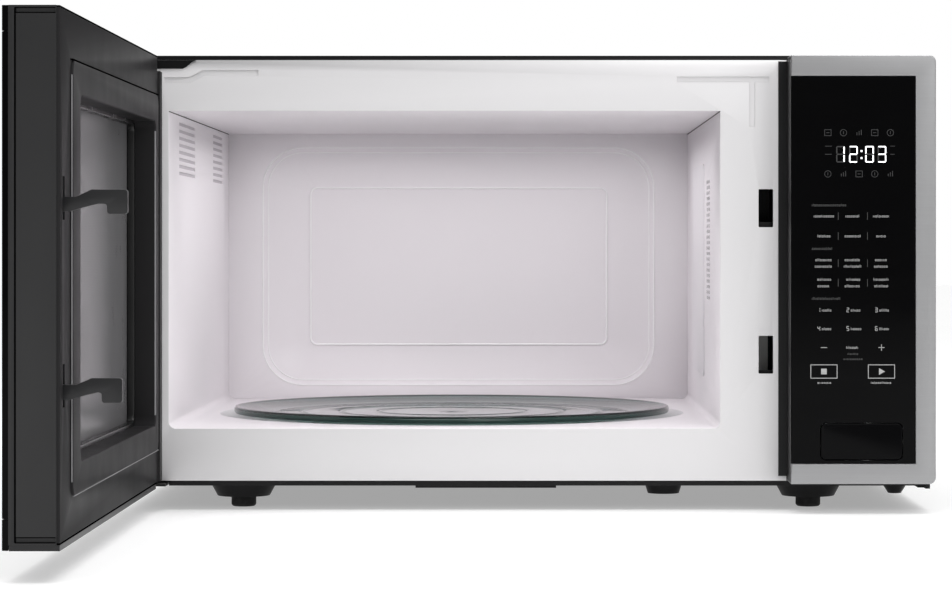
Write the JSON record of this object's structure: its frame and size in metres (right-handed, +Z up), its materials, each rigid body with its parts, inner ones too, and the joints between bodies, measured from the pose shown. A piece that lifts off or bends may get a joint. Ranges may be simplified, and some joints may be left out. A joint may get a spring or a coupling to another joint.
{
  "type": "microwave oven",
  "caption": "Countertop microwave oven with a swing door held by sprung latch hooks, a turntable on a roller ring, a touch panel with a push button that opens the door, and its electrics.",
  "frame": {"origin": "on the floor plane, on the cabinet's centre line, in the plane of the white plate's front face, which is also the middle of the object's footprint with its door open", "axes": "+X to the right seen from the front, +Y to the back, +Z up"},
  "size_m": [0.6139, 0.9975, 0.343],
  "materials": {
    "black_case": "fine satin black",
    "galvanised_steel": "zinc-plated sheet",
    "screw_steel": "zinc-plated",
    "foot_rubber": "matt",
    "black_plastic": "moulded",
    "white_enamel": "baked white enamel",
    "cover_plastic": "thin moulded sheet",
    "white_plastic": "moulded",
    "tray_glass": "pressed and tempered, green edge",
    "fin_aluminium": "mill finish",
    "transformer_steel": "varnished laminations",
    "lamp_glass": "clear",
    "circuit_board": "green laminate",
    "stainless": "horizontal brushing",
    "black_glass": "black-backed glass",
    "button_plastic": "polished black",
    "spring_steel": "drawn wire",
    "hinge_steel": "black",
    "door_plastic": "charcoal, fine grain",
    "cover_grey": "grey, fine grain",
    "window_film": "smoked",
    "gasket_rubber": "matt",
    "latch_plastic": "dark grey acetal"
  },
  "bodies": {
    "cabinet": {"outer_wrap": "black_case", "rear_panel": "galvanised_steel", "rear_screws": "screw_steel", "base_pan": "black_case", "front_feet": "foot_rubber", "rear_feet": "foot_rubber", "cord_bushing": "black_plastic", "cavity_front_plate": "white_enamel", "cavity_liner": "white_enamel", "cavity_top_plate": "white_enamel", "cavity_back_wall": "white_enamel", "waveguide_cover": "cover_plastic", "waveguide": "galvanised_steel", "turntable_motor": "galvanised_steel", "magnetron": "fin_aluminium", "hv_transformer": "transformer_steel", "hv_capacitor": "fin_aluminium", "hv_diode": "black_plastic", "fan_shroud": "white_plastic", "fan_motor": "transformer_steel", "air_duct": "white_plastic", "lamp_holder": "white_plastic", "cavity_lamp": "lamp_glass", "thermal_cutouts": "black_plastic", "line_filter_board": "circuit_board", "latch_board": "black_plastic", "latch_board_screws": "screw_steel", "interlock_switches": "black_plastic", "control_housing": "black_plastic", "control_bezel": "stainless", "control_glass": "black_glass", "display_module": "black_plastic", "control_board": "circuit_board", "button_spring": "spring_steel", "upper_hinge": "hinge_steel", "lower_hinge": "hinge_steel"},
    "turntable": {"turntable_shaft": "white_plastic", "drive_coupler": "white_plastic"},
    "tray": {"glass_tray": "tray_glass"},
    "ring": {"roller_ring": "white_plastic"},
    "wheel_1": {"roller_1": "white_plastic"},
    "wheel_2": {"roller_2": "white_plastic"},
    "wheel_3": {"roller_3": "white_plastic"},
    "fan": {"fan_blade": "white_plastic"},
    "button": {"door_button": "button_plastic"},
    "rocker": {"release_rocker": "white_plastic"},
    "slider": {"release_slider": "white_plastic"},
    "latch": {"latch_bar": "latch_plastic"},
    "door": {"door_shell": "door_plastic", "hinge_bushes": "white_plastic", "door_inner_cover": "cover_grey", "door_panel": "galvanised_steel", "door_screen": "black_case", "inner_window": "window_film", "window_gasket": "gasket_rubber", "door_glass": "black_glass", "door_bezel": "stainless", "latch_spring": "spring_steel", "latch_guides": "black_plastic", "door_screws": "screw_steel"}
  },
  "joints": [
    {"name": "door_hinge", "type": "hinge", "parent": "cabinet", "child": "door", "pos_m": [-0.2887, -0.0168, 0.18], "axis": [0, 0, 1], "range_deg": [0, 90]},
    {"name": "latch_slide", "type": "slide", "parent": "door", "child": "latch", "axis": [0, 0, 1], "range_m": [-0.003, 0.005], "stiffness_N_per_m": 300, "springref_m": 0.0006, "deforming": ["latch_spring"]},
    {"name": "door_button_press", "type": "slide", "parent": "cabinet", "child": "button", "axis": [0, 1, 0], "range_m": [0, 0.004], "stiffness_N_per_m": 400, "springref_m": -0.003, "deforming": ["button_spring"]},
    {"name": "release_rocker_turn", "type": "hinge", "parent": "cabinet", "child": "rocker", "pos_m": [0.18, 0.022, 0.062], "axis": [1, 0, 0], "range_deg": [0, 16.2]},
    {"name": "release_slider_lift", "type": "slide", "parent": "cabinet", "child": "slider", "axis": [0, 0, 1], "range_m": [0, 0.0083]},
    {"name": "turntable_spin", "type": "hinge", "parent": "cabinet", "child": "turntable", "pos_m": [-0.0615, 0.233, 0.05], "axis": [0, 0, 1], "continuous": true},
    {"name": "tray_lift", "type": "slide", "parent": "turntable", "child": "tray", "axis": [0, 0, 1], "range_m": [0, 0.03]},
    {"name": "roller_ring_spin", "type": "hinge", "parent": "cabinet", "child": "ring", "pos_m": [-0.0615, 0.233, 0.0508], "axis": [0, 0, 1], "continuous": true},
    {"name": "roller_1_spin", "type": "hinge", "parent": "ring", "child": "wheel_1", "pos_m": [-0.0615, 0.355, 0.0508], "axis": [0, 1, 0], "continuous": true},
    {"name": "roller_2_spin", "type": "hinge", "parent": "ring", "child": "wheel_2", "pos_m": [-0.16716, 0.172, 0.0508], "axis": [-0.866, -0.5, 0], "continuous": true},
    {"name": "roller_3_spin", "type": "hinge", "parent": "ring", "child": "wheel_3", "pos_m": [0.04416, 0.172, 0.0508], "axis": [0.866, -0.5, 0], "continuous": true},
    {"name": "fan_spin", "type": "hinge", "parent": "cabinet", "child": "fan", "pos_m": [0.226, 0.464, 0.17], "axis": [0, 1, 0], "continuous": true}
  ],
  "couplings": [
    {"joint": "release_rocker_turn", "follows": "door_button_press", "rad_per_m": 69.813},
    {"joint": "release_slider_lift", "follows": "door_button_press", "ratio": 2.05},
    {"joint": "roller_ring_spin", "follows": "turntable_spin", "ratio": 0.5},
    {"joint": "roller_1_spin", "follows": "turntable_spin", "ratio": -8.7143},
    {"joint": "roller_2_spin", "follows": "turntable_spin", "ratio": -8.7143},
    {"joint": "roller_3_spin", "follows": "turntable_spin", "ratio": -8.7143}
  ]
}
